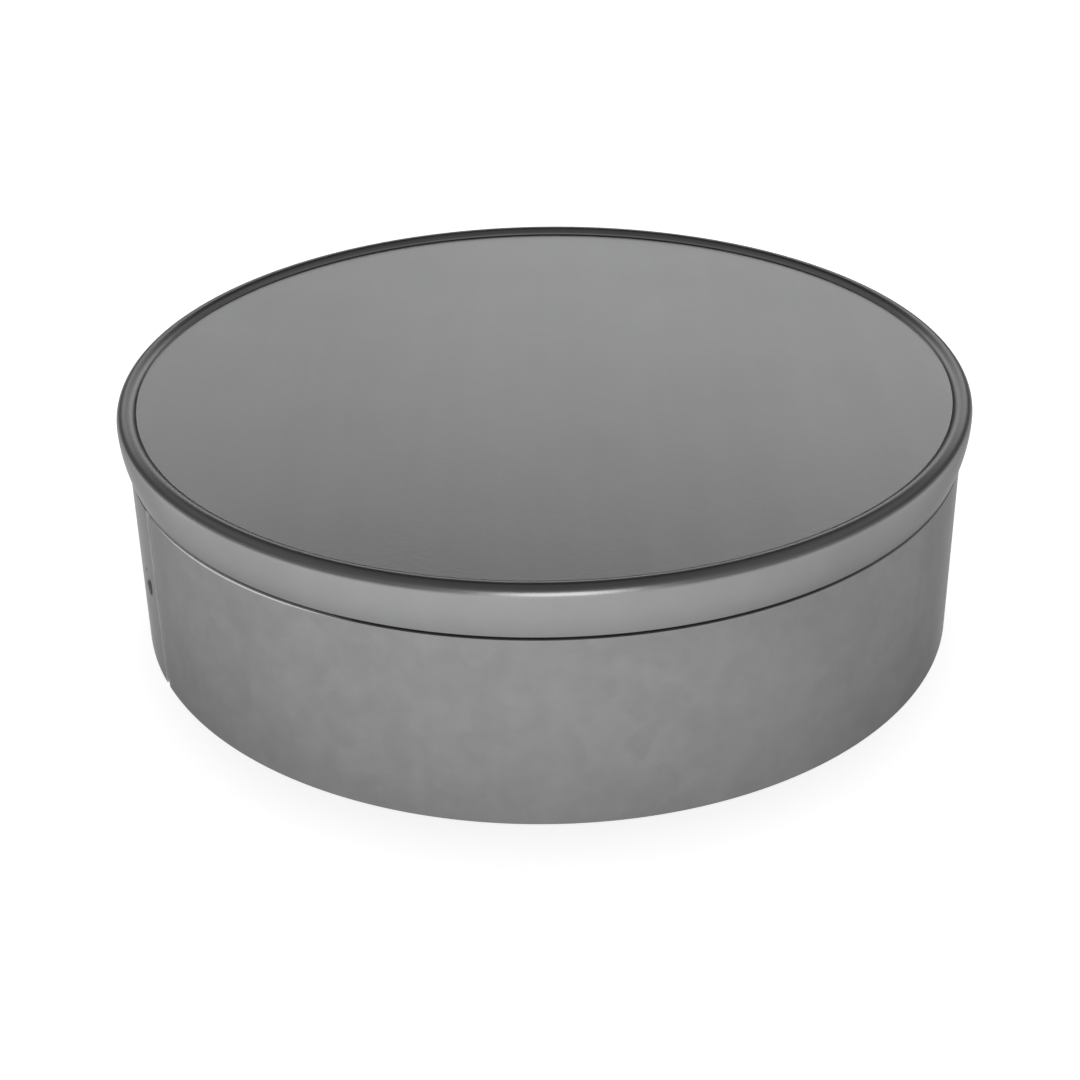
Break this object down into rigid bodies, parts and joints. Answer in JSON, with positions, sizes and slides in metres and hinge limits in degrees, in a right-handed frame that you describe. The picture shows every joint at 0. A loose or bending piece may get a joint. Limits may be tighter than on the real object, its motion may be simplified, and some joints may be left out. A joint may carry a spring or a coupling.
{
  "type": "duct end cap",
  "caption": "Round galvanised end cap for a sheet-metal duct: a rolled collar that slides into the duct and a flat end panel with a rounded rim hooked over it.",
  "frame": {"origin": "centre of the collar's open edge", "axes": "+Z along the duct's axis to the closed end, -Y to the front of the picture, the lap seam at the left front"},
  "size_m": [0.1546, 0.1546, 0.045],
  "materials": {
    "galvanised_wall": "bare galvanised sheet, fine dull spangle, faint rolling streaks",
    "galvanised_panel": "bare galvanised sheet, fine dull spangle, smooth pressed panel"
  },
  "bodies": {
    "root": {"collar": "galvanised_wall", "end_panel": "galvanised_panel"}
  },
  "joints": []
}
